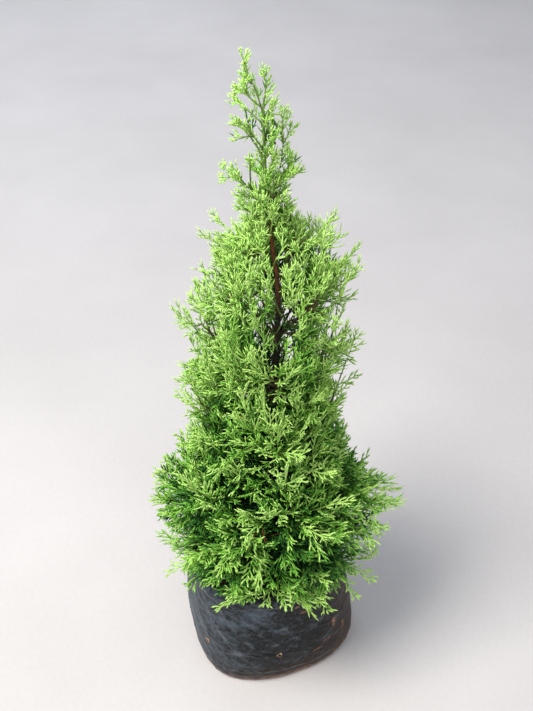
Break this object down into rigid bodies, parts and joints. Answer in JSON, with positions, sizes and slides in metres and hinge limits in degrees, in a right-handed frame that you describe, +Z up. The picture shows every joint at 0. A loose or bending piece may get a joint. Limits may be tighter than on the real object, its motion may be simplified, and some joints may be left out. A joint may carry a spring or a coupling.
{
  "type": "potted lemon cypress",
  "caption": "Young upright conifer with a slim leading shoot and a wide skirt of lime-green sprays, rooted in a squat black film grow bag that stands on its flat underside.",
  "frame": {"origin": "centre of the bag's flat underside, on the ground", "axes": "+Z up along the trunk, -Y towards the front that the picture shows, +X to its right"},
  "size_m": [0.1901, 0.1782, 0.5086],
  "materials": {
    "film": "thin black polythene film, creased and dusty",
    "soil": "dark moist potting soil with bark crumbs",
    "bark": "thin reddish brown bark, near black low down",
    "foliage": "soft matt green sprays with lime tips"
  },
  "bodies": {
    "root": {"bough_middle_1": "bark", "bough_middle_2": "bark", "bough_middle_3": "bark", "bough_middle_4": "bark", "bough_shoulder_1": "bark", "bough_shoulder_2": "bark", "bough_shoulder_3": "bark", "bough_upper_1": "bark", "bough_upper_2": "bark", "bough_upper_3": "bark", "bough_upper_4": "bark", "bough_waist_1": "bark", "bough_waist_2": "bark", "bough_waist_3": "bark", "bough_waist_4": "bark", "grow_bag": "film", "low_1": "foliage", "low_2": "foliage", "low_3": "foliage", "low_4": "foliage", "low_5": "foliage", "middle_1": "foliage", "middle_2": "foliage", "middle_3": "foliage", "middle_4": "foliage", "point_1": "foliage", "point_2": "foliage", "shoulder_1": "foliage", "shoulder_2": "foliage", "shoulder_3": "foliage", "skirt_1": "foliage", "skirt_2": "foliage", "skirt_3": "foliage", "skirt_4": "foliage", "skirt_5": "foliage", "skirt_6": "foliage", "soil": "soil", "spire_1": "foliage", "spire_2": "foliage", "spire_3": "foliage", "tip": "foliage", "tip_left": "foliage", "trunk": "bark", "upper_1": "foliage", "upper_2": "foliage", "upper_3": "foliage", "upper_4": "foliage", "waist_1": "foliage", "waist_2": "foliage", "waist_3": "foliage", "waist_4": "foliage"}
  },
  "joints": []
}
